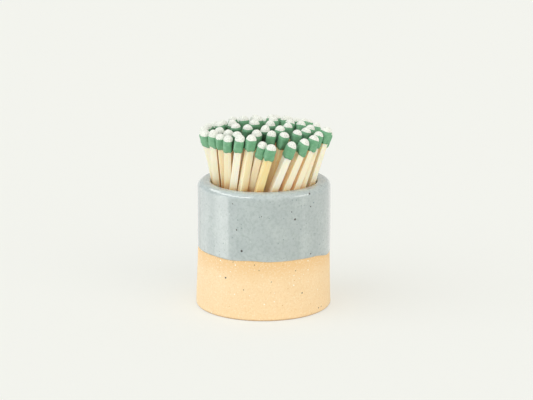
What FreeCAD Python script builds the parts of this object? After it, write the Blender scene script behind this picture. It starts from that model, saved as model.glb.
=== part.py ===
import FreeCAD, Part
import math
import os
import random

import Sketcher

# Match striker: a stoneware cup, glazed above and bare below, with a bundle of kitchen matches
# standing loose in it. The bare clay is what a match is struck on.
# Millimetres, +Z up. The origin is the middle of the foot that the cup stands on.

V = FreeCAD.Vector
UP = V(0, 0, 1)

# Driving sizes: the name of the cell, its value and what it measures.
SIZES = (
    ("cup_height", 42.6, "from the foot to the top of the rim"),
    ("cup_radius", 22.2, "outside of the cup over its glaze"),
    ("wall_thickness", 4.7, "from there in to the bore"),
    ("foot_flare", 0.55, "how far the foot stands out past the glaze"),
    ("glaze_line", 20.0, "height at which the glaze ends"),
    ("glaze_thickness", 0.1, "step from the bare clay out to the glaze"),
    ("floor_thickness", 3.4, "clay under the matches"),
    ("foot_bevel", 0.5, "bevel at the edge of the foot"),
    ("rim_outer_round", 2.3, "round at the outside of the rim"),
    ("rim_inner_round", 1.3, "round at the inside of the rim"),
    ("bore_bevel", 1.2, "bevel between the inner wall and the inner floor"),
    ("splint_width", 2.4, "side of a square splint"),
    ("match_length", 60.0, "from the cut end of the splint to the tip"),
    ("head_length", 5.7, "dipped end of a match, with its tip"),
    ("head_film", 0.1, "compound on each side of the splint at the root of the head"),
    ("head_swell", 1.2, "length over which the head swells from its root"),
    ("head_neck_width", 3.1, "head across its flats where the swell ends"),
    ("head_width", 3.35, "head across its flats where the dome of the tip starts"),
    ("tip_length", 1.7, "domed end of the head"),
    ("tip_shoulder", 0.75, "how far the shoulder of the dome lies below the tip"),
    ("tip_shoulder_width", 2.7, "dome across its flats at its shoulder"),
    ("tip_crown_width", 1.3, "flat crown of the dome across its flats"),
    ("match_fill", 0.355, "share of the bore's section that the splints take up"),
    ("side_gap", 1.5, "between neighbours in a row, where they cross the rim"),
    ("row_gap", 2.0, "between one row and the next, where they cross the rim"),
    ("bundle_twist", 63.0, "degrees that a match turns round the axis from its foot up to the rim"),
    ("rim_scatter_angle", 1.0, "most degrees by which a match stands off its place at the rim"),
    ("lean_scatter_angle", 2.0, "most degrees by which its lean differs from the usual"),
    ("scatter_seed", 1664.0, "start of the random series"),
    ("match_clearance", 0.06, "least gap between two matches"),
    ("wall_clearance", 0.12, "least gap between a match and the wall of the cup"),
    ("floor_clearance", 0.04, "gap under the lowest corner of a match"),
)

# The front of the outer row as it stands, from left to right: the degrees round the rim at which each
# match crosses it, its lean sideways and its lean outwards.
FRONT_ROW = (
    (-170, 18, 18),
    (-157, 15, 13),
    (-152, 15, 15),
    (-136, 14, 13),
    (-130, 17, 11),
    (-116, 18, 12),
    (-107, 22, 19),
    (-93, 23, 20),
    (-80, 27, 13),
    (-66, 21, 12),
    (-55, 21, 9),
    (-42, 17, 10),
    (-21, 2, 18),
    (0, 1, 23),
)

# What a round or a bevel of each kind calls its size.
EDGE_SIZE = {"Fillet": "Radius", "Chamfer": "Size"}

# Cut across the corners of a square that leaves a regular octagon, as a share of its width.
OCTAGON_CUT = (1 - math.tan(math.pi / 8)) / 2

# Settling: the most rounds of it, how near two matches must come to be watched, in head widths, the share
# of a clearance that may still be missing at its end, and the least level share of the way between two
# matches by which their push is worked out.
SWEEPS = 400
NEAR = 2.5
SETTLED = 0.25
LEAST_LEVEL = 0.5

# Two lengths that differ by less are the same, and a length under the second counts as none.
SAME = 0.001
NONE = 1e-6


def fill_sheet(doc):
    """Keep the driving sizes in a spreadsheet, one to a row, and read them back."""
    sheet = doc.addObject("Spreadsheet::Sheet", "Sizes")
    for row, (name, value, meaning) in enumerate(SIZES, start=1):
        sheet.set("A%d" % row, meaning)
        sheet.set("B%d" % row, str(value))
        sheet.setAlias("B%d" % row, name)
    doc.recompute()
    return {name: float(sheet.get(name)) for name, _, _ in SIZES}


def origin_plane(body, role):
    """One of a body's own origin planes."""
    return [feature for feature in body.Origin.OriginFeatures if feature.Role == role][0]


def outline(body, name, role, corners):
    """A closed outline of straight edges. Two expressions on the sheet hold each corner, which is
    first drawn on a circle and then pulled to its place."""
    sketch = body.newObject("Sketcher::SketchObject", name)
    sketch.AttachmentSupport = (origin_plane(body, role), [""])
    sketch.MapMode = "FlatFace"
    turn = 2 * math.pi / len(corners)
    drawn = [V(math.cos(turn * place), math.sin(turn * place), 0) for place in range(len(corners))]
    for start, end in zip(drawn, drawn[1:] + drawn[:1]):
        sketch.addGeometry(Part.LineSegment(start, end), False)
    for edge, corner in enumerate(corners):
        before = (edge - 1) % len(corners)
        sketch.addConstraint(Sketcher.Constraint("Coincident", before, 2, edge, 1))
        for kind, formula in zip(("DistanceX", "DistanceY"), corner):
            held = sketch.addConstraint(Sketcher.Constraint(kind, -1, 1, edge, 1, 1.0))
            sketch.setExpression("Constraints[%d]" % held, formula)
    return sketch


def bore_radius(size):
    """Inside of the cup."""
    return size["cup_radius"] - size["wall_thickness"]


def work_edge(doc, body, kind, radius, height, name):
    """Round or bevel the circular edge of a turned body that has this radius and height."""
    doc.recompute()
    sharp = body.Tip
    found = [
        "Edge%d" % place
        for place, edge in enumerate(sharp.Shape.Edges, start=1)
        if isinstance(edge.Curve, Part.Circle)
        and abs(edge.Curve.Radius - radius) < SAME
        and abs(edge.Curve.Center.z - height) < SAME
    ]
    worked = body.newObject("PartDesign::" + kind, name)
    worked.Base = (sharp, found)
    worked.setExpression(EDGE_SIZE[kind], "Sizes." + name)


def make_cup(doc, size):
    """The cup, turned in one piece with its glaze. The glaze stands a little proud of the bare clay."""
    body = doc.addObject("PartDesign::Body", "striker_cup")
    half_section = outline(body, "cup_section", "XZ_Plane", (
        ("0", "0"),
        ("Sizes.cup_radius + Sizes.foot_flare", "0"),
        ("Sizes.cup_radius - Sizes.glaze_thickness", "Sizes.glaze_line"),
        ("Sizes.cup_radius", "Sizes.glaze_line"),
        ("Sizes.cup_radius", "Sizes.cup_height"),
        ("Sizes.cup_radius - Sizes.wall_thickness", "Sizes.cup_height"),
        ("Sizes.cup_radius - Sizes.wall_thickness", "Sizes.floor_thickness"),
        ("0", "Sizes.floor_thickness"),
    ))
    turned = body.newObject("PartDesign::Revolution", "cup_turned")
    turned.Profile = half_section
    turned.ReferenceAxis = (half_section, ["V_Axis"])
    turned.Angle = 360
    bore = bore_radius(size)
    foot = size["cup_radius"] + size["foot_flare"]
    work_edge(doc, body, "Fillet", size["cup_radius"], size["cup_height"], "rim_outer_round")
    work_edge(doc, body, "Fillet", bore, size["cup_height"], "rim_inner_round")
    work_edge(doc, body, "Chamfer", bore, size["floor_thickness"], "bore_bevel")
    work_edge(doc, body, "Chamfer", foot, 0, "foot_bevel")
    return body


def corner_cut(size, width):
    """Cut across the corners of the head where it is this wide, which still covers those of the splint."""
    return width - size["splint_width"] - size["head_film"]


def cut_square(height, width, corner):
    """The eight points of a square across a match at some height, with its corners cut."""
    side = width / 2
    flat = side - corner
    quarter = ((flat, -side), (side, -flat))
    turns = ((1, 0), (0, 1), (-1, 0), (0, -1))
    return [V(x * c - y * s, x * s + y * c, height) for c, s in turns for x, y in quarter]


def flat_face(*points):
    """A flat face with these corners."""
    return Part.Face(Part.makePolygon(points + points[:1]))


def make_match_pattern(doc, size):
    """The match that the others copy, upright on the origin: a square splint with a dipped head. The head
    swells from its root on the flats and no further at the corners, and ends in a dome, all in flat
    facets."""
    length = size["match_length"]
    width = size["splint_width"]
    dip = length - size["head_length"]
    splint = Part.makeBox(width, width, dip, V(-width / 2, -width / 2, 0))
    rings = [
        cut_square(height, across, corner_cut(size, across))
        for height, across in (
            (dip, width + 2 * size["head_film"]),
            (dip + size["head_swell"], size["head_neck_width"]),
            (length - size["tip_length"], size["head_width"]),
        )
    ] + [
        cut_square(height, across, across * OCTAGON_CUT)
        for height, across in (
            (length - size["tip_shoulder"], size["tip_shoulder_width"]),
            (length, size["tip_crown_width"]),
        )
    ]
    faces = [flat_face(*rings[0]), flat_face(*rings[-1])]
    for low, high in zip(rings, rings[1:]):
        for one in range(len(low)):
            following = (one + 1) % len(low)
            faces.append(flat_face(low[one], low[following], high[following], high[one]))
    head = Part.Solid(Part.Shell(faces))
    pattern = doc.addObject("Part::Feature", "match_pattern")
    pattern.Shape = splint.fuse(head).removeSplitter()
    return pattern


class Match:
    """One match, as the straight line that it lies along: where that line meets the inner floor of the
    cup, where it crosses the level of the rim, and how far the match is turned about it."""

    def __init__(self, foot, rim, spin, size):
        self.foot = foot
        self.rim = rim
        self.spin = spin
        self.size = size
        self.lie()

    def lie(self):
        """Work out the match's turn, its sides and the ends of its splint and head."""
        size = self.size
        self.axis = (self.rim - self.foot).normalize()
        self.turn = FreeCAD.Rotation(UP, self.axis).multiply(FreeCAD.Rotation(UP, self.spin))
        self.sides = (self.turn.multVec(V(1, 0, 0)), self.turn.multVec(V(0, 1, 0)))
        half = size["splint_width"] / 2
        lift = size["floor_clearance"] + half * sum(abs(side.z) for side in self.sides)
        self.base = self.foot + self.axis * (lift / self.axis.z)
        self.root = self.base + self.axis * (size["match_length"] - size["head_length"])
        self.tip = self.base + self.axis * size["match_length"]

    def bars(self):
        """The splint and the head as square bars: both ends, the width and the cut corner."""
        size = self.size
        return (
            (self.base, self.root, size["splint_width"], 0.0),
            (self.root, self.tip, size["head_width"], corner_cut(size, size["head_width"])),
        )

    def shift(self, height, push):
        """Move the line sideways by push at one height, shared between the floor and the rim."""
        size = self.size
        part = (height - size["floor_thickness"]) / (size["cup_height"] - size["floor_thickness"])
        share = part * part + (1 - part) * (1 - part)
        self.foot = self.foot + push * ((1 - part) / share)
        self.rim = self.rim + push * (part / share)
        self.lie()

    def overhang(self, height):
        """How far the outermost edge of the splint stands from the cup's axis at one height."""
        centre = self.foot + self.axis * ((height - self.foot.z) / self.axis.z)
        half = self.size["splint_width"] / 2
        reach = 0
        for across in (-half, half):
            for along in (-half, half):
                edge = self.sides[0] * across + self.sides[1] * along
                crossing = centre + edge - self.axis * (edge.z / self.axis.z)
                reach = max(reach, math.hypot(crossing.x, crossing.y))
        return reach


def closest_points(start_a, end_a, start_b, end_b):
    """The points of two straight lines, each between two ends, that are nearest to each other."""
    along_a = end_a - start_a
    along_b = end_b - start_b
    between = start_a - start_b
    aa = along_a.dot(along_a)
    bb = along_b.dot(along_b)
    ab = along_a.dot(along_b)
    a_gap = along_a.dot(between)
    b_gap = along_b.dot(between)
    spread = aa * bb - ab * ab
    place_a = min(max((ab * b_gap - bb * a_gap) / spread, 0), 1) if spread > NONE else 0
    place_b = min(max((ab * place_a + b_gap) / bb, 0), 1)
    place_a = min(max((ab * place_b - a_gap) / aa, 0), 1)
    return start_a + along_a * place_a, start_b + along_b * place_b


def reach_towards(direction, sides, width, corner):
    """How far a square bar with cut corners reaches from its middle line in a direction."""
    across = abs(direction.dot(sides[0]))
    along = abs(direction.dot(sides[1]))
    half = width / 2
    return max(across * half + along * (half - corner), across * (half - corner) + along * half)


def part_pair(one, other, clearance):
    """Push two matches apart where they stand closer than the clearance. Returns the worst shortfall."""
    worst = 0
    for a in range(2):
        for b in range(2):
            start_a, end_a, width_a, corner_a = one.bars()[a]
            start_b, end_b, width_b, corner_b = other.bars()[b]
            near_a, near_b = closest_points(start_a, end_a, start_b, end_b)
            gap = near_b - near_a
            direction = V(gap).normalize() if gap.Length > NONE else V(1, 0, 0)
            need = clearance + reach_towards(direction, one.sides, width_a, corner_a)
            need += reach_towards(direction, other.sides, width_b, corner_b)
            short = need - gap.Length
            if short <= 0:
                continue
            worst = max(worst, short)
            level = V(direction.x, direction.y, 0)
            push = level.normalize() * (short / 2 / max(math.hypot(direction.x, direction.y), LEAST_LEVEL))
            one.shift(near_a.z, push * -1)
            other.shift(near_b.z, push)
    return worst


def hold_in_cup(match, size):
    """Keep a match inside the flat of the inner floor and inside the bore. Returns the worst excess."""
    half_foot = size["splint_width"] / 2 * (abs(match.sides[0].z) + abs(match.sides[1].z))
    flat_floor = bore_radius(size) - size["bore_bevel"]
    bore_top = size["cup_height"] - size["rim_inner_round"]
    limits = (
        (size["floor_thickness"] + half_foot, flat_floor),
        (bore_top, bore_radius(size) - size["wall_clearance"]),
    )
    worst = 0
    for height, limit in limits:
        excess = match.overhang(height) - limit
        if excess <= 0:
            continue
        worst = max(worst, excess)
        centre = match.foot + match.axis * ((height - match.foot.z) / match.axis.z)
        match.shift(height, V(centre.x, centre.y, 0).normalize() * -excess)
    return worst


def near_pairs(matches, size):
    """The pairs of matches that come near each other anywhere between foot and tip."""
    reach = NEAR * size["head_width"]
    pairs = []
    for place, one in enumerate(matches):
        for other in matches[place + 1:]:
            near_a, near_b = closest_points(one.base, one.tip, other.base, other.tip)
            if (near_a - near_b).Length < reach:
                pairs.append((one, other))
    return pairs


def settle(matches, size):
    """Ease the matches apart until each has its clearance to its neighbours and to the cup."""
    pairs = near_pairs(matches, size)
    clearance = size["match_clearance"]
    for sweep in range(SWEEPS):
        worst = max(part_pair(one, other, clearance) for one, other in pairs)
        worst = max([worst] + [hold_in_cup(match, size) for match in matches])
        if worst < clearance * SETTLED:
            break
    return worst


def leaning_match(size, radius, rim_turn, lean_sideways, lean_outwards, spin):
    """A match that crosses the rim at a radius and a turn, in degrees, and leans by two angles there."""
    outwards = V(math.cos(math.radians(rim_turn)), math.sin(math.radians(rim_turn)), 0)
    sideways = UP.cross(outwards)
    depth = size["cup_height"] - size["floor_thickness"]
    rim = outwards * radius + UP * size["cup_height"]
    lean = outwards * math.tan(math.radians(lean_outwards)) + sideways * math.tan(math.radians(lean_sideways))
    return Match(rim - (lean + UP) * depth, rim, spin, size)


def row_lean(size, radius, series):
    """The usual lean of a match, sideways and outwards in degrees, with some scatter. Its foot lies as far
    out as the floor lets a row of this radius, and is turned back by the twist of the bundle."""
    depth = size["cup_height"] - size["floor_thickness"]
    outer = outer_radius(size)
    flat_floor = bore_radius(size) - size["bore_bevel"] - size["splint_width"] / 2
    foot_radius = radius * flat_floor / outer
    twist = math.radians(size["bundle_twist"])
    sideways = foot_radius * math.sin(twist) / depth
    outwards = (radius - foot_radius * math.cos(twist)) / depth
    return [
        math.degrees(math.atan(slope)) + series.uniform(-1, 1) * size["lean_scatter_angle"]
        for slope in (sideways, outwards)
    ]


def outer_radius(size):
    """Radius at which the matches of the outer row cross the rim, each with a side against the wall."""
    return bore_radius(size) - size["wall_clearance"] - size["splint_width"] / 2


def stand_matches(size):
    """Stand the matches in rows, from the wall inwards. The outer row has its front as it is seen, and goes
    on evenly round the back."""
    series = random.Random(int(size["scatter_seed"]))
    bore_area = math.pi * bore_radius(size) ** 2
    count = int(size["match_fill"] * bore_area / size["splint_width"] ** 2)
    pitch = size["splint_width"] + size["side_gap"]
    radius = outer_radius(size)
    matches = [
        leaning_match(size, radius, rim_turn, sideways, outwards, series.uniform(0, 90))
        for rim_turn, sideways, outwards in FRONT_ROW
    ]
    start = FRONT_ROW[-1][0]
    span = FRONT_ROW[0][0] + 360 - start
    places = max(int(math.radians(span) * radius / pitch) - 1, 0)
    turns = [start + span * (place + 1) / (places + 1) for place in range(places)]
    while True:
        for turn in turns[:count - len(matches)]:
            rim_turn = turn + series.uniform(-1, 1) * size["rim_scatter_angle"]
            lean = row_lean(size, radius, series)
            matches.append(leaning_match(size, radius, rim_turn, lean[0], lean[1], series.uniform(0, 90)))
        if len(matches) >= count:
            break
        radius = abs(radius - size["splint_width"] - size["row_gap"])
        places = max(int(2 * math.pi * radius / pitch), 1)
        start = series.uniform(0, 360)
        turns = [start + 360 * place / places for place in range(places)]
    worst = settle(matches, size)
    print("%d matches stand in the cup, worst shortfall %.3f" % (len(matches), worst))
    return matches


def make_matches(doc, size):
    """Copies of the match pattern, each in its own place in the bundle."""
    pattern = make_match_pattern(doc, size)
    bodies = []
    for place, match in enumerate(stand_matches(size), start=1):
        body = doc.addObject("PartDesign::Body", "match_%02d" % place)
        copy = doc.addObject("PartDesign::FeatureBase", "copy_%02d" % place)
        copy.BaseFeature = pattern
        body.Group = [copy]
        body.Tip = copy
        body.Placement = FreeCAD.Placement(match.base, match.turn)
        bodies.append(body)
    return bodies


def check(doc, bodies):
    """Stop if any object failed, or if a sub-part isn't one valid solid."""
    for thing in doc.Objects:
        if "Invalid" in thing.State or "Error" in thing.State:
            raise RuntimeError("%s failed: %s" % (thing.Name, thing.State))
    for body in bodies:
        if body.Shape.isNull() or not body.Shape.isValid() or len(body.Shape.Solids) != 1:
            raise RuntimeError("%s isn't one valid solid" % body.Label)


def main():
    doc = FreeCAD.newDocument("match_striker")
    size = fill_sheet(doc)
    bodies = [make_cup(doc, size)] + make_matches(doc, size)
    doc.recompute()
    check(doc, bodies)
    os.makedirs("parts", exist_ok=True)
    for body in bodies:
        body.Shape.exportStep(os.path.join("parts", body.Label + ".step"))
    print("%d parts written" % len(bodies))
    return doc, size, bodies


if __name__ == "__main__":
    main()
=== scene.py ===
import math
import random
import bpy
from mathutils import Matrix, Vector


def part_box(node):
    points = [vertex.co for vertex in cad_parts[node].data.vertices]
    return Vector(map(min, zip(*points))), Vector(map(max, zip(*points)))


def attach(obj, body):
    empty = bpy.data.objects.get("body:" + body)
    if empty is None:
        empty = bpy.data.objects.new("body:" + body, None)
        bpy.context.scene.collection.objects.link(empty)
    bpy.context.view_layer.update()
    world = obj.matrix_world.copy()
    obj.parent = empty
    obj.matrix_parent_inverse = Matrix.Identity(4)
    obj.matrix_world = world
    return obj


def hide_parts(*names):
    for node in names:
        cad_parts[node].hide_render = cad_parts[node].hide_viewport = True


bl_info = {
    "name": "Match striker",
    "version": (1, 0, 0),
    "blender": (4, 5, 0),
    "location": "View3D > Sidebar > Match striker",
    "description": "Finishes a match striker: a cup glazed above and bare below, with its matches",
    "category": "Object",
}

import bmesh
import bpy
from mathutils import Euler, Matrix, Vector, noise

# The frame is in metres. Meshes are built in millimetres and made metres as they are finished.
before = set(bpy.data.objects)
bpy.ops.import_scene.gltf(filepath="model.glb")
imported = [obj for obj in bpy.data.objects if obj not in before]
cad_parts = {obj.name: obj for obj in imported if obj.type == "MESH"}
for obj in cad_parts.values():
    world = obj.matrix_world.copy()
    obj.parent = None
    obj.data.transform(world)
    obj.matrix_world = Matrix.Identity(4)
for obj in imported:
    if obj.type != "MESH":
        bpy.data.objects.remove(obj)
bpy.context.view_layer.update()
MM = 0.001
CUP_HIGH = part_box("striker_cup")[1]
MATCH_NODES = sorted(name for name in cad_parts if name.startswith("match_"))

# Where the glaze ends round the cup: degrees from +X, and how far above or below the glaze line.
GLAZE_EDGE = (
    (-180, 0.3),
    (-140, 0.2),
    (-120, -0.1),
    (-101, 0.3),
    (-85, 0.0),
    (-60, 0.05),
    (-43, -0.1),
    (-16, -1.6),
    (10, -0.9),
    (45, 0.2),
    (90, -0.3),
    (135, 0.2),
)

# Iron spots that melted through the glaze: degrees from +X, height and width in millimetres.
GLAZE_SPOTS = (
    (-109, 23.5, 0.75),
    (-63, 33.8, 0.7),
    (-47.4, 41.5, 0.7),
    (-46.7, 37.2, 0.5),
    (-46.4, 21.2, 0.5),
    (-113.5, 30.4, 0.5),
    (-117, 39.0, 0.4),
    (-66, 36.4, 0.4),
    (-92, 35.3, 0.35),
    (60, 31.0, 0.6),
    (130, 36.0, 0.5),
    (165, 27.0, 0.6),
)

# Iron spots in the bare clay, in the same way.
CLAY_SPOTS = (
    (-124, 13.7, 0.65),
    (-55.6, 8.5, 0.5),
    (-36, 1.8, 0.45),
    (-32, 1.9, 0.35),
    (-107, 10.4, 0.35),
    (-83.5, 13.3, 0.3),
    (-98, 19.0, 0.35),
    (-117, 19.4, 0.3),
    (-94, 17.2, 0.3),
    (-62, 16.4, 0.3),
    (40, 12.0, 0.5),
    (110, 6.0, 0.5),
    (150, 15.0, 0.4),
)

# Panes of light that only the gloss of the glaze shows: degrees from +X where each starts and ends, its
# distance from the cup's axis, its lowest and highest edge in millimetres, and its strength.
PANES = (
    (110, 145, 75, 0, 50, 1.1),
    (145, 160, 75, 0, 50, 1.8),
    (160, 187, 75, 0, 50, 2.5),
    (187, 193, 75, 0, 55, 3.4),
    (193, 199, 75, 0, 55, 4.4),
    (199, 215, 75, 0, 60, 5.2),
    (215, 230, 75, 0, 60, 1.5),
    (-31, -26, 75, 0, 50, 2.2),
    (-26, 60, 75, 0, 50, 1.1),
    (130, 175, 500, 380, 580, 5.0),
    (175, 250, 500, 380, 580, 9.0),
    (-34, -3, 500, 230, 330, 10.0),
)

# How yellow the splints of the front row are, from left to right.
FRONT_TONES = (0.22, 0.32, 0.38, 0.42, 0.2, 0.6, 0.3, 1.0, 0.15, 0.4, 0.4, 0.3, 0.3, 0.4)

# Lamps: name, colour, strength and where each shines from, of which only the direction counts.
LAMPS = (
    ("window", "#EDF6FF", 0.9, (-1.0, -0.5, 1.0)),
    ("room", "#FFF9F3", 0.75, (0.7, -1.0, 0.8)),
)

# The cup's mesh: its steps round the axis, the longest step up its outside and down its inside in
# millimetres, how near two points are the same, and how far past the bore a point is on the outside.
CUP_STEPS = 360
OUTSIDE_STEP = 0.4
INSIDE_STEP = 1.5
SAME = 0.001
PAST_BORE = 0.1

# Small rounds of the cup in millimetres: at the foot, at the lower edge of the glaze, and round the floor.
FOOT_ROUND = 0.7
GLAZE_ROUND = 0.12
BORE_BEVEL = 1.2

# How far the cup is out of true, in millimetres: to and fro round it, in rings up it, along its rim, and
# its foot to the left. The last is how far from its edge the glaze's wave reaches.
WOBBLE = 0.10
THROWING_RINGS = 0.03
RIM_WAVE = 0.1
FOOT_SHIFT = 0.2
GLAZE_REACH = 3.0

# An iron spot is a ball pressed as flat as this.
SPOT_FLATNESS = 0.12

# The splint in millimetres: how much its long edges are worn, how far it reaches up into the head, and how
# large the log is that the splints are cut from.
WORN_EDGE = 0.09
IN_HEAD = 1.5
LOG = 900

# The head's mesh: points round it and rings down it, the rings at which its dome ends, at which it is
# widest and at which it ends on the splint, and how far round the ball its dome goes, in degrees.
HEAD_SIDES = 32
HEAD_RINGS = 28
DOME_RING = 8
WIDEST_RING = 12
ROOT_RING = 24
DOME_BEND = 80

# The head in millimetres: compound on each side of the splint at its root, how far below the white it is
# widest, how askew and wavy the edge of the white is, how much short of the head's length the root ends and
# how wavy that is, and how far above the root the ball is closed, inside the splint.
HEAD_FILM = 0.1
WIDEST_BELOW = 0.8
TIP_ASKEW = 0.15
ROOT_SHORT = 0.15
ROOT_WAVE = 0.4
HEAD_CLOSED = 1.4

# How the head thins out from its widest: evenly by the first share, and by the second over the last part of
# the way, which starts at the third. The fourth is the square of that part.
THINS_EVENLY = 0.35
THINS_AT_ROOT = 0.65
ROOT_PART = 0.7
ROOT_PART_SQUARE = 0.09

# Radius at which the outer row crosses the rim, and how much further in a match counts as deep in the
# bundle, where its wood gets painted warm shade, in millimetres.
OUTER_ROW = 15.5
DEEP = 2.5

# The stage: half the paper in millimetres, how far it lies under the foot, and the steps of a pane.
PAPER = 4.0 / MM
PAPER_GAP = 0.01
PANE_STEPS = 16

# Sockets of a Mix node that mixes two colours.
SHARE, UNDER, OVER = 0, 6, 7


def linear(hex_colour):
    """An sRGB colour such as #C0FFEE as linear red, green, blue and alpha."""
    values = [int(hex_colour[place:place + 2], 16) / 255 for place in (1, 3, 5)]
    return [v / 12.92 if v <= 0.04045 else ((v + 0.055) / 1.055) ** 2.4 for v in values] + [1.0]


def length_property(name, millimetres, description):
    """A length in the panel, given in millimetres and kept in metres."""
    return bpy.props.FloatProperty(
        name=name, description=description, default=millimetres * MM, min=0, unit="LENGTH", precision=5
    )


def colour_property(name, hex_colour, description):
    """A colour in the panel, given as an sRGB colour."""
    return bpy.props.FloatVectorProperty(
        name=name, description=description, default=linear(hex_colour), size=4, min=0, max=1,
        subtype="COLOR",
    )


class CupSettings(bpy.types.PropertyGroup):
    waist_radius: length_property("Waist radius", 22.1, "Outside of the bare clay where the glaze ends")
    bore_radius: length_property("Bore radius", 17.5, "Inside of the cup")
    floor_thickness: length_property("Floor thickness", 3.4, "Clay under the matches")
    glaze_line: length_property("Glaze line", 20.0, "Height at which the glaze ends")
    glaze_thickness: length_property("Glaze thickness", 0.16, "Step from the bare clay out to the glaze")
    rim_outer_round: length_property("Outer rim round", 2.3, "Round at the outside of the rim")
    rim_inner_round: length_property("Inner rim round", 1.3, "Round at the inside of the rim")
    glaze: colour_property("Glaze", "#B3BDBC", "Pale blue-grey glaze")
    clay: colour_property("Clay", "#F7DAAC", "Bare fired clay")
    iron: colour_property("Iron", "#3B3A3A", "Iron spots in glaze and clay")


class MatchSettings(bpy.types.PropertyGroup):
    head_length: length_property("Head length", 5.7, "Dipped end of a match, with its tip")
    tip_length: length_property("Tip length", 1.4, "White end of the head")
    head_width: length_property("Head width", 3.35, "Head across its flats where the tip starts")
    splint: colour_property("Splint", "#FFFCEE", "Sawn aspen")
    head: colour_property("Head", "#7CB68B", "Green compound of the head")
    tip: colour_property("Tip", "#F8FAF0", "White compound of the tip")


class StageSettings(bpy.types.PropertyGroup):
    paper: colour_property("Paper", "#F3F4EE", "Paper that the cup stands on")


def add(tree, kind, inputs=None, **settings):
    """Add a node with its settings. Each input is a value, a socket to link to it, or a node whose first
    output in use is linked to it."""
    node = tree.nodes.new(kind)
    for name, value in settings.items():
        setattr(node, name, value)
    for socket, value in (inputs or {}).items():
        if isinstance(value, bpy.types.Node):
            value = [output for output in value.outputs if output.enabled][0]
        if isinstance(value, bpy.types.NodeSocket):
            tree.links.new(value, node.inputs[socket])
        else:
            node.inputs[socket].default_value = value
    return node


def new_material(name):
    """A material with no nodes in it yet, and its node tree."""
    material = bpy.data.materials.new(name)
    material.use_nodes = True
    material.node_tree.nodes.clear()
    return material, material.node_tree


def on_piece(tree, stretch=(1, 1, 1)):
    """Where a point lies on its piece, in millimetres, stretched."""
    place = add(tree, "ShaderNodeTexCoord").outputs["Object"]
    return add(tree, "ShaderNodeMapping", {"Vector": place, "Scale": [value / MM for value in stretch]})


def on_match(tree, stretch=(1, 1, 1)):
    """Where a point lies on its own match, in millimetres, each match in a part of the wood of its own."""
    place = add(tree, "ShaderNodeAttribute", attribute_name="match_place").outputs["Vector"]
    return add(tree, "ShaderNodeMapping", {"Vector": place, "Scale": stretch})


def patchy(tree, place, under, over, width, start, end, share, detail=2.0, roughness=0.5):
    """Lay patches about this wide, in millimetres, over a colour. They come in as a noise goes from start
    to end, and cover at most this share of what is under them."""
    cloud = {"Vector": place, "Scale": 1 / width, "Detail": detail, "Roughness": roughness}
    strength = add(tree, "ShaderNodeTexNoise", cloud)
    faded = {"Value": strength, "From Min": start, "From Max": end, "To Max": share}
    cover = add(tree, "ShaderNodeMapRange", faded)
    return add(tree, "ShaderNodeMix", {SHARE: cover, UNDER: under, OVER: linear(over)}, data_type="RGBA")


def speckled(tree, place, under, over, spacing, width, kept):
    """Lay round specks up to this wide over a colour, one to a cell of this spacing, in millimetres, of
    which only a share are kept. A speck thins out over its rim."""
    cells = add(tree, "ShaderNodeTexVoronoi", {"Vector": place, "Scale": 1 / spacing})
    number = add(tree, "ShaderNodeSeparateColor", {"Color": cells.outputs["Color"]})
    chosen = add(tree, "ShaderNodeMath", {0: number, 1: kept}, operation="LESS_THAN")
    edge = {"Value": cells, "From Min": width / spacing * 0.5, "From Max": width / spacing * 0.3}
    near = add(tree, "ShaderNodeMapRange", edge)
    cover = add(tree, "ShaderNodeMath", {0: near, 1: chosen}, operation="MULTIPLY")
    return add(tree, "ShaderNodeMix", {SHARE: cover, UNDER: under, OVER: linear(over)}, data_type="RGBA")


def close_material(tree, height, depth, **sockets):
    """Finish a material with its shader, bumped by a height of this depth in millimetres."""
    bump = add(tree, "ShaderNodeBump", {"Height": height, "Distance": depth * MM, "Strength": 1.0})
    shader = add(tree, "ShaderNodeBsdfPrincipled", {"Normal": bump, **sockets})
    add(tree, "ShaderNodeOutputMaterial", {"Surface": shader})


def speckled_gloss_glaze(cup):
    """Stoneware glaze, fired glossy: a deep even blue-grey, milky in patches, and paler in a band round the
    rim, partly where it runs thinner there and partly as a painted reflection of the bright room, with dark
    specks of iron that melt through it, and a surface as smooth as water on slightly uneven clay. The
    finest real specks are too fine to show, so all are drawn coarser."""
    material, tree = new_material("speckled_gloss_glaze")
    place = on_piece(tree)
    height = add(tree, "ShaderNodeSeparateXYZ", {0: place}).outputs["Z"]
    rim = CUP_HIGH.z / MM
    # Paler band round the rim: partly the glaze running thinner there, partly a painted reflection of the
    # bright room.
    near_rim = {"Value": height, "From Min": rim - 2.2, "From Max": rim - 0.3, "To Max": 0.5}
    rim_thinning_and_sheen = add(tree, "ShaderNodeMapRange", near_rim, interpolation_type="SMOOTHSTEP")
    broken = {SHARE: rim_thinning_and_sheen, UNDER: list(cup.glaze), OVER: linear("#CEDAD9")}
    paler = add(tree, "ShaderNodeMix", broken, data_type="RGBA")
    milky = patchy(tree, place, paler, "#C0CAC7", width=6.0, start=0.4, end=0.7, share=0.6)
    mottled = patchy(
        tree, place, milky, "#9AA7A4", width=0.9, start=0.45, end=0.7, share=0.6, detail=3.0, roughness=0.7
    )
    fine = speckled(tree, place, mottled, "#8F9D9D", spacing=1.5, width=0.55, kept=0.4)
    bluish = speckled(tree, place, fine, "#7F8E92", spacing=3.1, width=0.6, kept=0.35)
    light = speckled(tree, place, bluish, "#CDD6D3", spacing=2.3, width=0.45, kept=0.3)
    uneven = add(tree, "ShaderNodeTexNoise", {"Vector": place, "Scale": 1 / 2.4, "Detail": 1.0})
    close_material(tree, uneven, 0.05, **{"Base Color": light, "Roughness": 0.14, "IOR": 1.5})
    return material


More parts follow.
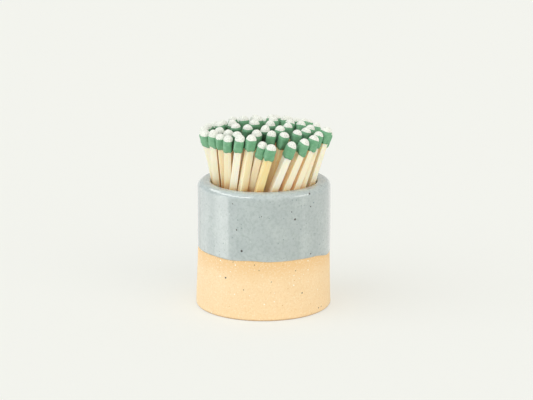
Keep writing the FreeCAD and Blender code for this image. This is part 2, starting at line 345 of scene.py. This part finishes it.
def bare_stoneware(cup):
    """Fired clay without glaze: matt, sandy buff, rough enough to strike on, with fine pale grog and brown
    specks, toasted just under the glaze, and with painted shade in brown along the bottom edge of the foot.
    Real sand is too fine to show, so it is drawn coarser."""
    material, tree = new_material("bare_stoneware")
    place = on_piece(tree)
    height = add(tree, "ShaderNodeSeparateXYZ", {0: place}).outputs["Z"]
    cloudy = patchy(tree, place, list(cup.clay), "#FCE0B4", width=9.0, start=0.4, end=0.7, share=0.5)
    below = {"Value": height, "From Min": 12.0, "From Max": 20.0, "To Max": 0.75}
    heat = add(tree, "ShaderNodeMapRange", below, interpolation_type="SMOOTHSTEP")
    toast = {SHARE: heat, UNDER: cloudy, OVER: linear("#EEC386")}
    toasted = add(tree, "ShaderNodeMix", toast, data_type="RGBA")
    sandy = patchy(
        tree, place, toasted, "#EBC387", width=0.6, start=0.45, end=0.7, share=0.45, detail=3.0,
        roughness=0.65,
    )
    floury = patchy(
        tree, place, sandy, "#FFF0D4", width=0.55, start=0.55, end=0.7, share=0.5, roughness=0.6
    )
    grog = speckled(tree, place, floury, "#FFFBF0", spacing=1.6, width=0.55, kept=0.2)
    tan = speckled(tree, place, grog, "#DBAE6C", spacing=1.9, width=0.45, kept=0.35)
    brown = speckled(tree, place, tan, "#B98A50", spacing=3.9, width=0.4, kept=0.3)
    # Painted shade: brown along the bottom edge of the foot, where it meets the paper.
    foot = {"Value": height, "From Min": 0.55, "From Max": 0.1, "To Max": 0.7}
    painted_foot_shade = add(tree, "ShaderNodeMapRange", foot)
    foot_shade_mix = {SHARE: painted_foot_shade, UNDER: brown, OVER: linear("#A9713F")}
    foot_with_painted_shade = add(tree, "ShaderNodeMix", foot_shade_mix, data_type="RGBA")
    sand = {"Vector": place, "Scale": 1 / 0.4, "Detail": 3.0, "Roughness": 0.7}
    rough = add(tree, "ShaderNodeTexNoise", sand)
    close_material(tree, rough, 0.06, **{"Base Color": foot_with_painted_shade, "Roughness": 0.8})
    return material


def iron_spot(cup):
    """A grain of iron in the clay that melted as it was fired: nearly black, slightly shiny."""
    material, tree = new_material("iron_spot")
    place = on_piece(tree)
    colour = patchy(tree, place, list(cup.iron), "#5E564F", width=0.3, start=0.4, end=0.6, share=1.0)
    skin = add(tree, "ShaderNodeTexNoise", {"Vector": place, "Scale": 1 / 0.2})
    close_material(tree, skin, 0.02, **{"Base Color": colour, "Roughness": 0.35})
    return material


def sawn_aspen(match):
    """Aspen cut from the log in square splints: creamy, dry and matt, with straight fibres along it, and
    yellower on some splints than on others. Light goes some way into it. Painted warm shade tints it beside
    its neighbours and on matches deep in the bundle, and painted amber shade where they shut it in. Real
    fibres are too fine to show, so they are drawn coarser."""
    material, tree = new_material("sawn_aspen")
    place = on_match(tree, (1, 1, 0.05))
    tone = add(tree, "ShaderNodeAttribute", attribute_name="match_tone").outputs["Fac"]
    yellow = {SHARE: tone, UNDER: list(match.splint), OVER: linear("#FFE0A0")}
    toned = add(tree, "ShaderNodeMix", yellow, data_type="RGBA")
    fibrous = patchy(
        tree, place, toned, "#FAE8BE", width=0.4, start=0.5, end=0.75, share=0.6, detail=3.0, roughness=0.6
    )
    pale = patchy(
        tree, place, fibrous, "#FFFDEE", width=0.3, start=0.45, end=0.3, share=0.5, detail=3.0,
        roughness=0.6,
    )
    # Painted shade: a warm tint beside near neighbours and deeper in the bundle, and amber where the
    # neighbours nearly shut the wood in.
    around = add(tree, "ShaderNodeAmbientOcclusion", {"Distance": 4 * MM}, samples=8).outputs["AO"]
    depth = add(tree, "ShaderNodeAttribute", attribute_name="match_depth").outputs["Fac"]
    painted_warmth_deep_in = add(tree, "ShaderNodeMath", {0: depth, 1: 0.4}, operation="MULTIPLY")
    half_open = {"Value": around, "From Min": 0.75, "From Max": 0.3, "To Max": 0.7}
    beside = add(tree, "ShaderNodeMapRange", half_open)
    between = add(tree, "ShaderNodeMath", {0: painted_warmth_deep_in, 1: beside}, operation="MAXIMUM")
    glow = {SHARE: between, UNDER: pale, OVER: linear("#FBCB80")}
    warm = add(tree, "ShaderNodeMix", glow, data_type="RGBA")
    # Painted amber shade where the wood is nearly shut in, weaker in the outer row.
    nearly_shut = {"Value": around, "From Min": 0.45, "From Max": 0.1, "To Max": 0.9}
    painted_amber_where_shut = add(tree, "ShaderNodeMapRange", nearly_shut)
    inner = add(tree, "ShaderNodeMapRange", {"Value": depth, "To Min": 0.3, "To Max": 1.0})
    painted_shade_share = add(tree, "ShaderNodeMath", {0: painted_amber_where_shut, 1: inner}, operation="MULTIPLY")
    amber_shade_mix = {SHARE: painted_shade_share, UNDER: warm, OVER: linear("#DC7F28")}
    amber = add(tree, "ShaderNodeMix", amber_shade_mix, data_type="RGBA")
    fibres = {"Vector": place, "Scale": 1 / 0.3, "Detail": 3.0, "Roughness": 0.6}
    grain = add(tree, "ShaderNodeTexNoise", fibres)
    wood = {
        "Base Color": amber,
        "Roughness": 0.75,
        "Subsurface Weight": 0.6,
        "Subsurface Scale": 2 * MM,
        "Subsurface Radius": (1.0, 0.7, 0.45),
    }
    close_material(tree, grain, 0.05, **wood)
    return material


def green_compound(match):
    """The head's compound, dipped wet and dried: a mid green, chalky, with a faint grain, and with painted
    shade in dark green in between the heads."""
    material, tree = new_material("green_compound")
    place = on_match(tree)
    streaked = patchy(
        tree, place, list(match.head), "#67A67B", width=1.2, start=0.35, end=0.65, share=1.0
    )
    grainy = patchy(tree, place, streaked, "#5A9670", width=0.28, start=0.45, end=0.7, share=0.5)
    # Painted shade: dark green where the heads shut each other in.
    around = add(tree, "ShaderNodeAmbientOcclusion", {"Distance": 9 * MM}, samples=8).outputs["AO"]
    painted_shade_share = add(tree, "ShaderNodeMapRange", {"Value": around, "From Min": 0.5, "From Max": 0.15})
    darkened = {SHARE: painted_shade_share, UNDER: grainy, OVER: linear("#1B3A26")}
    deep = add(tree, "ShaderNodeMix", darkened, data_type="RGBA")
    grit = add(tree, "ShaderNodeTexNoise", {"Vector": place, "Scale": 1 / 0.3})
    close_material(tree, grit, 0.08, **{"Base Color": deep, "Roughness": 0.6})
    return material


def white_compound(match):
    """The tip's compound: off-white and gritty, like fine sugar. The grit is drawn coarser than it is."""
    material, tree = new_material("white_compound")
    place = on_match(tree)
    gritty = patchy(
        tree, place, list(match.tip), "#BBBDB4", width=0.35, start=0.48, end=0.62, share=0.6, roughness=0.7
    )
    grit = {"Vector": place, "Scale": 1 / 0.3, "Roughness": 0.7}
    sugar = add(tree, "ShaderNodeTexNoise", grit)
    close_material(tree, sugar, 0.12, **{"Base Color": gritty, "Roughness": 0.85})
    return material


def matt_paper(stage):
    """Uncoated paper, rolled smooth. Half of what the camera and the gloss see of it is its plain colour,
    so the shadow on it stays soft."""
    material, tree = new_material("matt_paper")
    colour = list(stage.paper)
    sheet = add(tree, "ShaderNodeBsdfDiffuse", {"Color": colour})
    plain = add(tree, "ShaderNodeEmission", {"Color": colour, "Strength": 1.0})
    path = add(tree, "ShaderNodeLightPath").outputs
    mirrored = {0: path["Is Glossy Ray"], 1: path["Is Transmission Ray"]}
    gloss = add(tree, "ShaderNodeMath", mirrored, operation="MAXIMUM")
    seen = add(tree, "ShaderNodeMath", {0: path["Is Camera Ray"], 1: gloss}, operation="MAXIMUM")
    half = add(tree, "ShaderNodeMath", {0: seen, 1: 0.5}, operation="MULTIPLY")
    both = add(tree, "ShaderNodeMixShader", {0: half, 1: sheet, 2: plain})
    add(tree, "ShaderNodeOutputMaterial", {"Surface": both})
    return material


def window_light(strength):
    """What a window shows in the gloss of the glaze: plain daylight."""
    material, tree = new_material("window_light")
    glow = add(tree, "ShaderNodeEmission", {"Color": linear("#FFFCF8"), "Strength": strength})
    add(tree, "ShaderNodeOutputMaterial", {"Surface": glow})
    return material


def finish_piece(shape, name, materials, nodes=(), place=Matrix.Identity(4)):
    """Make a piece from a mesh in millimetres: put it in its place in metres, and let it ride on the root.
    It replaces the nodes that are named."""
    shape.transform(place @ Matrix.Scale(MM, 4))
    mesh = bpy.data.meshes.new(name)
    shape.to_mesh(mesh)
    shape.free()
    for material in materials:
        mesh.materials.append(material)
    piece = bpy.data.objects.new(name, mesh)
    bpy.context.scene.collection.objects.link(piece)
    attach(piece, "root")
    if nodes:
        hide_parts(*nodes)
    return piece


def glaze_dip(turn):
    """How far the glaze ends above or below its line at this many degrees round the cup."""
    for start, end in zip(GLAZE_EDGE, GLAZE_EDGE[1:] + ((180, GLAZE_EDGE[0][1]),)):
        if start[0] <= turn <= end[0]:
            share = (turn - start[0]) / (end[0] - start[0])
            eased = share * share * (3 - 2 * share)
            return start[1] + (end[1] - start[1]) * eased


def cup_outline(shape, cup):
    """Half of the cup's section as a wire: up the outside, over the rim and down to the inner floor."""
    foot = (CUP_HIGH.x / MM, 0)
    waist = cup.waist_radius / MM
    glaze = waist + cup.glaze_thickness / MM
    line = cup.glaze_line / MM
    bore = cup.bore_radius / MM
    floor = cup.floor_thickness / MM
    top = CUP_HIGH.z / MM
    corners = (
        (0, 0),
        foot,
        (waist, line),
        (glaze, line),
        (glaze, top),
        (bore, top),
        (bore, floor),
        (0, floor),
    )
    points = [shape.verts.new((x, 0, z)) for x, z in corners]
    shape.faces.new(points)
    rounds = (
        (1, FOOT_ROUND, 4),
        (3, GLAZE_ROUND, 3),
        (4, cup.rim_outer_round / MM, 12),
        (5, cup.rim_inner_round / MM, 8),
        (6, BORE_BEVEL, 4),
    )
    for corner, radius, segments in rounds:
        bmesh.ops.bevel(
            shape, geom=[points[corner]], offset=radius, offset_type="OFFSET", segments=segments,
            profile=0.5, affect="VERTICES", material=-1,
        )
    bmesh.ops.delete(shape, geom=shape.faces[:], context="FACES_ONLY")
    middle = [edge for edge in shape.edges if max(abs(end.co.x) for end in edge.verts) < SAME]
    bmesh.ops.delete(shape, geom=middle, context="EDGES")
    for edge in shape.edges[:]:
        outside = min(end.co.x for end in edge.verts) > bore + PAST_BORE
        cuts = int(edge.calc_length() / (OUTSIDE_STEP if outside else INSIDE_STEP))
        if cuts:
            bmesh.ops.subdivide_edges(shape, edges=[edge], cuts=cuts)


def eased_by_hand(place, cup):
    """Where a place on the turned cup ends up once the cup is eased out of true, as a hand-thrown one is,
    with its glaze ending in a wavy line."""
    x, y, z = place
    radius = math.hypot(x, y)
    if radius < 0.01:
        return place
    line = cup.glaze_line / MM
    out = Vector((x / radius, y / radius, 0))
    turn = math.degrees(math.atan2(y, x))
    free = min(z / 2.0, 1.0)
    wobble = WOBBLE * noise.noise(Vector((out.x * 1.3, out.y * 1.3, z * 0.05)))
    ring = THROWING_RINGS * noise.noise(Vector((out.x * 0.6, out.y * 0.6, z * 0.45 + 7)))
    eased = place + out * (wobble + ring) * free * min(radius / 10, 1)
    if radius > cup.bore_radius / MM + 1:
        near = math.exp(-((z - line) / GLAZE_REACH) ** 2)
        eased.z += glaze_dip(turn) * near
        eased.x -= FOOT_SHIFT * max(1 - z / line, 0)
    if z > line:
        eased.z += RIM_WAVE * noise.noise(Vector((out.x, out.y, 3.0))) * (z - line) / line
    return eased


class STRIKER_OT_cup(bpy.types.Operator):
    """Throw the cup, glaze it above its line and leave it bare below"""

    bl_idname = "striker.cup"
    bl_label = "Make the cup"

    def execute(self, context):
        cup = context.scene.striker_cup
        shape = bmesh.new()
        cup_outline(shape, cup)
        bmesh.ops.spin(
            shape, geom=shape.verts[:] + shape.edges[:], cent=(0, 0, 0), axis=(0, 0, 1), dvec=(0, 0, 0),
            angle=2 * math.pi, steps=CUP_STEPS, use_merge=True, use_duplicate=False,
        )
        bmesh.ops.remove_doubles(shape, verts=shape.verts[:], dist=SAME)
        line = cup.glaze_line / MM
        bore = cup.bore_radius / MM
        for face in shape.faces:
            face.smooth = True
            middle = face.calc_center_median()
            below = middle.z < line - SAME
            bare = below and (middle.xy.length > bore + PAST_BORE or middle.z < 0.01)
            face.material_index = 1 if bare else 0
        for point in shape.verts:
            point.co = eased_by_hand(point.co, cup)
        bmesh.ops.recalc_face_normals(shape, faces=shape.faces[:])
        materials = (speckled_gloss_glaze(cup), bare_stoneware(cup))
        finish_piece(shape, "thrown_cup", materials, ("striker_cup",))
        return {"FINISHED"}


class STRIKER_OT_iron_spots(bpy.types.Operator):
    """Set the larger iron spots into the glaze and the clay"""

    bl_idname = "striker.iron_spots"
    bl_label = "Make the iron spots"

    def execute(self, context):
        cup = context.scene.striker_cup
        line = cup.glaze_line / MM
        waist = cup.waist_radius / MM
        flare = (CUP_HIGH.x / MM - waist) / line
        shape = bmesh.new()
        for turn, height, width in GLAZE_SPOTS + CLAY_SPOTS:
            glazed = height > line
            radius = waist + cup.glaze_thickness / MM if glazed else waist + flare * (line - height)
            past_rim = max(height - (CUP_HIGH.z - cup.rim_outer_round) / MM, 0)
            rim = cup.rim_outer_round / MM
            radius -= rim - math.sqrt(max(rim * rim - past_rim * past_rim, 0))
            face_up = math.asin(min(past_rim / rim, 1))
            stand = Matrix.Rotation(math.radians(turn), 4, "Z") @ Matrix.Translation((radius, 0, height))
            lie = Matrix.Rotation(-face_up, 4, "Y") @ Matrix.Diagonal((SPOT_FLATNESS, 1, 1, 1))
            made = bmesh.ops.create_uvsphere(
                shape, u_segments=12, v_segments=8, radius=width / 2, matrix=stand @ lie
            )
            shift = eased_by_hand(stand.translation, cup) - stand.translation
            shift.z = 0
            bmesh.ops.translate(shape, vec=shift, verts=made["verts"])
        for face in shape.faces:
            face.smooth = True
        finish_piece(shape, "iron_spots", (iron_spot(cup),))
        return {"FINISHED"}


def match_stand(node):
    """Where a match of the frame stands: its length and width in millimetres, and the matrix from an
    upright match in metres on the origin to its place."""
    places = {tuple(round(value, 7) for value in vertex.co) for vertex in node.data.vertices}
    points = [Vector(place) for place in sorted(places)]
    rough = max(points, key=lambda point: point.z) - min(points, key=lambda point: point.z)
    points.sort(key=lambda point: point.dot(rough))
    foot = sum(points[:4], Vector()) / 4
    crown = sum(points[-8:], Vector()) / 8
    axis = (crown - foot).normalized()
    corner = points[0] - foot
    beside = max(points[1:4], key=lambda point: abs((point - foot).cross(corner).dot(axis))) - foot
    side = (corner + beside).normalized()
    across = axis.cross(side)
    turn = Matrix((side, across, axis)).transposed().to_4x4()
    return (crown - foot).length / MM, corner.length / MM * math.sqrt(2), Matrix.Translation(foot) @ turn


def saw_splint(shape, width, length):
    """The splint: a square bar with flat sides, its long edges a little worn."""
    stand = Matrix.Translation((0, 0, length / 2)) @ Matrix.Diagonal((width, width, length, 1))
    made = bmesh.ops.create_cube(shape, size=1, matrix=stand)
    upright = {
        edge for point in made["verts"] for edge in point.link_edges
        if abs(edge.verts[0].co.z - edge.verts[1].co.z) > length / 2
    }
    worn = bmesh.ops.bevel(
        shape, geom=sorted(upright, key=lambda edge: edge.index), offset=WORN_EDGE, offset_type="OFFSET",
        segments=2, profile=0.5, affect="EDGES", material=-1,
    )
    for face in worn["faces"]:
        face.smooth = True


def dip_head(shape, match, width, length, chance):
    """The head: a ball pulled over the end of the splint, in rings down from the tip. It is a dome as far
    as the white goes, swells to its full width below, and thins out to the splint, on which it ends
    askew. A section of it is round where square is 2, and squarer where it is more."""
    head = match.head_length / MM
    tip = match.tip_length / MM * chance.uniform(0.85, 1.3)
    half = match.head_width / MM / 2 * chance.uniform(0.96, 1.02)
    cap = half * chance.uniform(0.91, 0.97)
    collar = width / 2 + HEAD_FILM
    full_bend = math.radians(DOME_BEND)
    made = bmesh.ops.create_uvsphere(shape, u_segments=HEAD_SIDES, v_segments=HEAD_RINGS, radius=1)
    tilt = chance.uniform(0, 2 * math.pi)
    slant = chance.uniform(0.1, 0.6)
    seed = Vector((chance.uniform(0, 50), chance.uniform(0, 50), 0))
    for face in {face for point in made["verts"] for face in point.link_faces}:
        face.smooth = True
        middle = face.calc_center_median().normalized()
        face.material_index = 2 if math.acos(middle.z) / math.pi * HEAD_RINGS < DOME_RING else 1
    for point in made["verts"]:
        ring = round(math.acos(max(min(point.co.z, 1), -1)) / math.pi * HEAD_RINGS)
        turn = math.atan2(point.co.y, point.co.x)
        wave = noise.noise(Vector((math.cos(turn), math.sin(turn), 0)) + seed)
        sway = math.cos(turn - tilt)
        border = tip + TIP_ASKEW * wave + TIP_ASKEW * sway
        if ring <= DOME_RING:
            bend = ring / DOME_RING * full_bend
            depth = border * (1 - math.cos(bend)) / (1 - math.cos(full_bend))
            reach = cap * math.sin(bend) / math.sin(full_bend)
            square = 2.3 + 0.3 * ring / DOME_RING
        elif ring <= WIDEST_RING:
            share = (ring - DOME_RING) / (WIDEST_RING - DOME_RING)
            depth = border + WIDEST_BELOW * share
            reach = cap + (half - cap) * math.sin(share * math.pi / 2)
            square = 2.6 + 0.6 * share
        elif ring <= ROOT_RING:
            share = (ring - WIDEST_RING) / (ROOT_RING - WIDEST_RING)
            end = head - ROOT_SHORT + ROOT_WAVE * wave + slant * sway
            depth = (border + WIDEST_BELOW) * (1 - share) + end * share
            at_root = THINS_AT_ROOT * max(share - ROOT_PART, 0) ** 2 / ROOT_PART_SQUARE
            swell = 1 - THINS_EVENLY * share - at_root
            reach = collar + (half - collar) * swell
            square = 3.2 + 8 * share ** 3
        else:
            depth = head - HEAD_CLOSED
            reach = width / 2 * (HEAD_RINGS - ring) / (HEAD_RINGS - ROOT_RING) * 0.8
            square = 4
        c = abs(math.cos(turn)) ** square
        s = abs(math.sin(turn)) ** square
        edge = reach / (c + s) ** (1 / square)
        lump = 1 + 0.02 * noise.noise(Vector((math.cos(turn) * 2, math.sin(turn) * 2, depth)) + seed)
        point.co = Vector((math.cos(turn) * edge * lump, math.sin(turn) * edge * lump, length - depth))


def rim_depth(node_place):
    """How deep in the bundle a match stands where it crosses the rim: 0 in the outer row, 1 further in."""
    foot = node_place.translation
    axis = node_place.col[2].xyz
    crossing = foot + axis * ((CUP_HIGH.z - foot.z) / axis.z)
    return min(max((OUTER_ROW * MM - crossing.xy.length) / (DEEP * MM), 0), 1)


def remember_place(piece, place, shift, tone):
    """Keep on each point of a match where it lies on the match, shifted into wood of its own, the match's
    tone and how deep in the bundle it stands, which sets the wood's painted shade."""
    back = (place @ Matrix.Scale(MM, 4)).inverted()
    mesh = piece.data
    count = len(mesh.vertices)
    mesh.attributes.new("match_place", "FLOAT_VECTOR", "POINT")
    mesh.attributes.new("match_tone", "FLOAT", "POINT")
    mesh.attributes.new("match_depth", "FLOAT", "POINT")
    kept = [value for point in mesh.vertices for value in back @ point.co + shift]
    mesh.attributes["match_place"].data.foreach_set("vector", kept)
    mesh.attributes["match_tone"].data.foreach_set("value", [tone] * count)
    mesh.attributes["match_depth"].data.foreach_set("value", [rim_depth(place)] * count)


class STRIKER_OT_matches(bpy.types.Operator):
    """Cut and dip a match for each match of the frame"""

    bl_idname = "striker.matches"
    bl_label = "Make the matches"

    def execute(self, context):
        match = context.scene.striker_match
        materials = (sawn_aspen(match), green_compound(match), white_compound(match))
        for number, name in enumerate(MATCH_NODES, start=1):
            chance = random.Random(number)
            length, width, place = match_stand(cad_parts[name])
            shape = bmesh.new()
            saw_splint(shape, width, length - match.head_length / MM + IN_HEAD)
            dip_head(shape, match, width, length, chance)
            bmesh.ops.recalc_face_normals(shape, faces=shape.faces[:])
            piece = finish_piece(shape, "dipped_" + name, materials, (name,), place)
            shift = Vector((chance.uniform(0, LOG), chance.uniform(0, LOG), chance.uniform(0, LOG)))
            tone = FRONT_TONES[number - 1] if number <= len(FRONT_TONES) else chance.uniform(0.2, 0.8)
            remember_place(piece, place, shift, tone)
        return {"FINISHED"}


def aim(thing, target):
    """Turn a lamp or a camera to face a point."""
    thing.rotation_euler = (target - thing.location).to_track_quat("-Z", "Y").to_euler()


def set_stage_piece(shape, name, material):
    """Make a piece of the stage from a mesh in millimetres."""
    shape.transform(Matrix.Scale(MM, 4))
    mesh = bpy.data.meshes.new(name)
    shape.to_mesh(mesh)
    shape.free()
    mesh.materials.append(material)
    piece = bpy.data.objects.new(name, mesh)
    bpy.context.scene.collection.objects.link(piece)
    return piece


def light_world(colour):
    """A soft even light from all round, which the camera sees as the paper's own colour."""
    world = bpy.data.worlds.new("studio")
    world.use_nodes = True
    tree = world.node_tree
    tree.nodes.clear()
    soft = add(tree, "ShaderNodeBackground", {"Color": linear("#FFFDFB"), "Strength": 0.71})
    plain = add(tree, "ShaderNodeBackground", {"Color": colour, "Strength": 1.0})
    path = add(tree, "ShaderNodeLightPath").outputs
    both = add(tree, "ShaderNodeMixShader", {0: path["Is Camera Ray"], 1: soft, 2: plain})
    add(tree, "ShaderNodeOutputWorld", {"Surface": both})
    return world


class STRIKER_OT_stage(bpy.types.Operator):
    """Lay the paper, and set the lamps and the camera"""

    bl_idname = "striker.stage"
    bl_label = "Set the stage"

    def execute(self, context):
        stage = context.scene.striker_stage
        shape = bmesh.new()
        under = Matrix.Translation((0, 0, -PAPER_GAP))
        bmesh.ops.create_grid(shape, x_segments=1, y_segments=1, size=PAPER, matrix=under)
        set_stage_piece(shape, "paper", matt_paper(stage))
        context.scene.world = light_world(list(stage.paper))

        for number, (start, end, distance, low, high, strength) in enumerate(PANES, start=1):
            shape = bmesh.new()
            ends = [shape.verts.new((distance, 0, height)) for height in (low, high)]
            edge = shape.edges.new(ends)
            bmesh.ops.rotate(
                shape, verts=ends, cent=(0, 0, 0), matrix=Matrix.Rotation(math.radians(start), 3, "Z")
            )
            bmesh.ops.spin(
                shape, geom=ends + [edge], cent=(0, 0, 0), axis=(0, 0, 1), dvec=(0, 0, 0),
                angle=math.radians(end - start), steps=PANE_STEPS, use_merge=False, use_duplicate=False,
            )
            pane = set_stage_piece(shape, "pane_%d" % number, window_light(strength))
            pane.visible_camera = False
            pane.visible_diffuse = False
            pane.visible_shadow = False
            pane.visible_transmission = False

        for name, colour, energy, place in LAMPS:
            sun = bpy.data.lights.new(name, "SUN")
            sun.color = linear(colour)[:3]
            sun.energy = energy
            sun.angle = math.radians(60)
            lamp = bpy.data.objects.new(name, sun)
            lamp.location = place
            context.scene.collection.objects.link(lamp)
            aim(lamp, Vector((0, 0, 0)))

        distance = 600 * MM
        height = 35.35 * MM
        aside = 0.85 * MM
        tilt = math.radians(13.94)
        lens = bpy.data.cameras.new("camera")
        lens.sensor_width = 36
        lens.lens = 121.1
        camera = bpy.data.objects.new("camera", lens)
        camera.location = (aside, -distance * math.cos(tilt), height + distance * math.sin(tilt))
        camera.rotation_euler = Euler((math.pi / 2 - tilt, 0, 0))
        context.scene.collection.objects.link(camera)
        context.scene.camera = camera
        context.scene.view_settings.view_transform = "Standard"
        return {"FINISHED"}


class STRIKER_PT_panel(bpy.types.Panel):
    """The settings and steps of the match striker"""

    bl_idname = "STRIKER_PT_panel"
    bl_label = "Match striker"
    bl_space_type = "VIEW_3D"
    bl_region_type = "UI"
    bl_category = "Match striker"

    def draw(self, context):
        for settings, steps in (
            (context.scene.striker_cup, (STRIKER_OT_cup, STRIKER_OT_iron_spots)),
            (context.scene.striker_match, (STRIKER_OT_matches,)),
            (context.scene.striker_stage, (STRIKER_OT_stage,)),
        ):
            box = self.layout.box()
            for name in settings.__annotations__:
                box.prop(settings, name)
            for step in steps:
                box.operator(step.bl_idname)


CLASSES = (
    CupSettings,
    MatchSettings,
    StageSettings,
    STRIKER_OT_cup,
    STRIKER_OT_iron_spots,
    STRIKER_OT_matches,
    STRIKER_OT_stage,
    STRIKER_PT_panel,
)


def register():
    for kind in CLASSES:
        bpy.utils.register_class(kind)
    bpy.types.Scene.striker_cup = bpy.props.PointerProperty(type=CupSettings)
    bpy.types.Scene.striker_match = bpy.props.PointerProperty(type=MatchSettings)
    bpy.types.Scene.striker_stage = bpy.props.PointerProperty(type=StageSettings)


def unregister():
    del bpy.types.Scene.striker_cup
    del bpy.types.Scene.striker_match
    del bpy.types.Scene.striker_stage
    for kind in reversed(CLASSES):
        bpy.utils.unregister_class(kind)


def main():
    register()
    bpy.ops.striker.cup()
    bpy.ops.striker.iron_spots()
    bpy.ops.striker.matches()
    bpy.ops.striker.stage()


if __name__ == "__main__":
    main()
